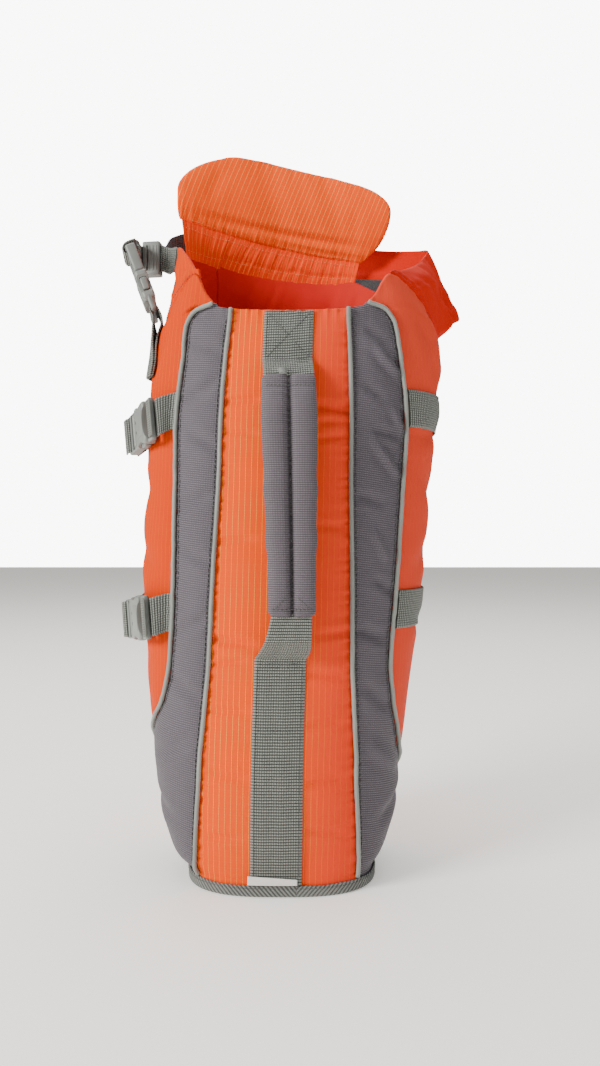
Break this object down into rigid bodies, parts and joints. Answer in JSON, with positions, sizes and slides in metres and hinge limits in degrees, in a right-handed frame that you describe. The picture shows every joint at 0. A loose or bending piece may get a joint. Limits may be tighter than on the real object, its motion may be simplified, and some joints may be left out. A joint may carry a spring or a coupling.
{
  "type": "garment: dog life jacket (buoyancy vest for a medium dog)",
  "caption": "Orange and grey dog life jacket, filled out and standing on its tail hem, with a carrying handle, belly straps and a chin float",
  "frame": {"origin": "on the flat underside of the hem tape, on the spine side, at X = 0", "axes": "+Z from the tail hem up to the neck; -Y towards the spine side with the handle; +X across the back, to the side without buckles"},
  "size_m": [0.3148, 0.2322, 0.6428],
  "materials": {
    "orange_cloth": "woven ripstop nylon over closed-cell foam, slight sheen",
    "lining_cloth": "plain woven nylon lining over thin foam",
    "grey_cloth": "coarse plain-woven nylon, matte",
    "piping_tape": "reflective grey piping cord, satin",
    "webbing": "ribbed polypropylene webbing, satin",
    "dark_webbing": "dark plain webbing, matte",
    "binding_tape": "ribbed binding tape, satin",
    "label_cloth": "woven satin label, bare",
    "hook_tape": "hook-and-loop tape, matte",
    "buckle_plastic": "moulded acetal, fine matte"
  },
  "bodies": {
    "root": {"dorsal_panel": "orange_cloth", "side_panel_left": "orange_cloth", "side_panel_right": "orange_cloth", "neck_wing_left": "orange_cloth", "neck_wing_right": "orange_cloth", "chin_float": "orange_cloth", "float_root": "orange_cloth", "belly_panel": "lining_cloth", "spine_panel_left": "grey_cloth", "spine_panel_right": "grey_cloth", "handle_grip": "grey_cloth", "inner_piping_left": "piping_tape", "inner_piping_right": "piping_tape", "outer_piping_left": "piping_tape", "outer_piping_right": "piping_tape", "spine_webbing_lower": "webbing", "spine_webbing_upper": "webbing", "upper_strap_long": "webbing", "upper_strap_short": "webbing", "lower_strap_long": "webbing", "lower_strap_short": "webbing", "neck_strap_run": "webbing", "neck_strap_tab": "webbing", "neck_strap_end": "dark_webbing", "tail_binding": "binding_tape", "hem_label": "label_cloth", "hook_patch": "hook_tape", "upper_buckle_socket": "buckle_plastic", "upper_buckle_plug": "buckle_plastic", "lower_buckle_socket": "buckle_plastic", "lower_buckle_plug": "buckle_plastic", "neck_buckle_socket": "buckle_plastic", "neck_buckle_plug": "buckle_plastic", "neck_keeper": "buckle_plastic"}
  },
  "joints": []
}
